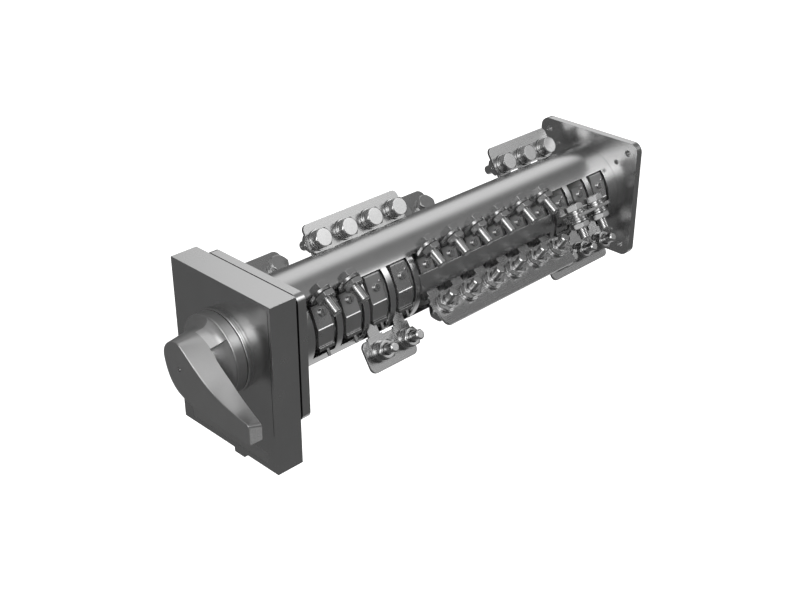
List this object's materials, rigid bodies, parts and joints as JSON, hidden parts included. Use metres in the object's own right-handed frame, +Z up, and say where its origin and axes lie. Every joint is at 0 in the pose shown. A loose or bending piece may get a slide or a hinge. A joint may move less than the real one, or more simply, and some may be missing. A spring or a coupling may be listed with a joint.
{
  "type": "voltage selector switch",
  "caption": "Long rotary voltage selector switch: lever handle on a square escutcheon, slotted tube with stacked contact decks, bolted terminals and bus bars, square rear plate.",
  "frame": {"origin": "on the shaft axis in the plane of the front flange's panel-side face, the centre of the panel bolt pattern", "axes": "+Y along the shaft from the handle to the rear plate, +X right as seen from the handle, +Z up"},
  "size_m": [0.166, 0.5426, 0.1665],
  "materials": {
    "escutcheon_paint": "satin grey enamel",
    "handle_moulding": "satin grey moulding",
    "strip_moulding": "matte",
    "gasket_rubber": "matte black",
    "plate_steel": "rolled plate, satin",
    "tube_steel": "drawn tube, satin",
    "insulator_moulding": "moulded, slightly glossy",
    "housing_steel": "turned",
    "tinned_copper": "tin plated, satin",
    "zinc_fasteners": "bright zinc plate",
    "bearing_bronze": "turned bronze"
  },
  "bodies": {
    "switch_frame": {"bottom_pull_tab": "escutcheon_paint", "clamp_screws": "zinc_fasteners", "contact_blocks_far": "insulator_moulding", "contact_blocks_high_slot": "insulator_moulding", "contact_blocks_low_slot": "insulator_moulding", "contact_blocks_plain": "insulator_moulding", "contact_blocks_tall": "insulator_moulding", "contact_leg_strips": "tinned_copper", "detent_balls": "zinc_fasteners", "detent_springs": "zinc_fasteners", "escutcheon_gasket": "gasket_rubber", "far_front_busbar": "tinned_copper", "far_front_link": "tinned_copper", "far_link_tabs": "tinned_copper", "far_mid_link": "tinned_copper", "far_rear_busbar": "tinned_copper", "far_upper_tabs": "tinned_copper", "flange_gasket": "gasket_rubber", "front_bearing": "bearing_bronze", "front_escutcheon": "escutcheon_paint", "front_flange": "plate_steel", "index_housing": "housing_steel", "knob_base_ring": "escutcheon_paint", "label_strip": "strip_moulding", "legend_plate": "escutcheon_paint", "long_busbar_tabs": "tinned_copper", "marker_screws": "zinc_fasteners", "near_front_bracket": "tinned_copper", "near_long_busbar": "tinned_copper", "near_lower_tabs": "tinned_copper", "near_rear_busbar": "tinned_copper", "near_upper_tabs": "tinned_copper", "near_window_cover": "tube_steel", "panel_screws": "zinc_fasteners", "partition_discs": "insulator_moulding", "plain_washers": "zinc_fasteners", "rear_bearing": "bearing_bronze", "rear_link_bar": "tinned_copper", "rear_link_tabs": "tinned_copper", "rear_plate": "plate_steel", "spring_washers": "zinc_fasteners", "support_strips": "tinned_copper", "terminal_bolts_long": "zinc_fasteners", "terminal_bolts_short": "zinc_fasteners", "terminal_nuts": "zinc_fasteners", "tie_rods": "housing_steel", "tube_front_collar": "tube_steel", "tube_lower_shell": "tube_steel", "tube_rear_collar": "tube_steel", "tube_side_ribs": "tube_steel", "tube_upper_shell": "tube_steel", "tube_window_skirts": "tube_steel"},
    "rotor": {"selector_handle": "handle_moulding", "handle_screw": "zinc_fasteners", "drive_shaft": "housing_steel", "star_wheel": "housing_steel", "stop_arm": "housing_steel", "contact_drums": "insulator_moulding", "moving_contacts": "tinned_copper"}
  },
  "joints": [
    {"name": "handle_turn", "type": "hinge", "parent": "switch_frame", "child": "rotor", "pos_m": [0, 0, 0], "axis": [0, 1, 0], "range_deg": [-210, 0]}
  ]
}
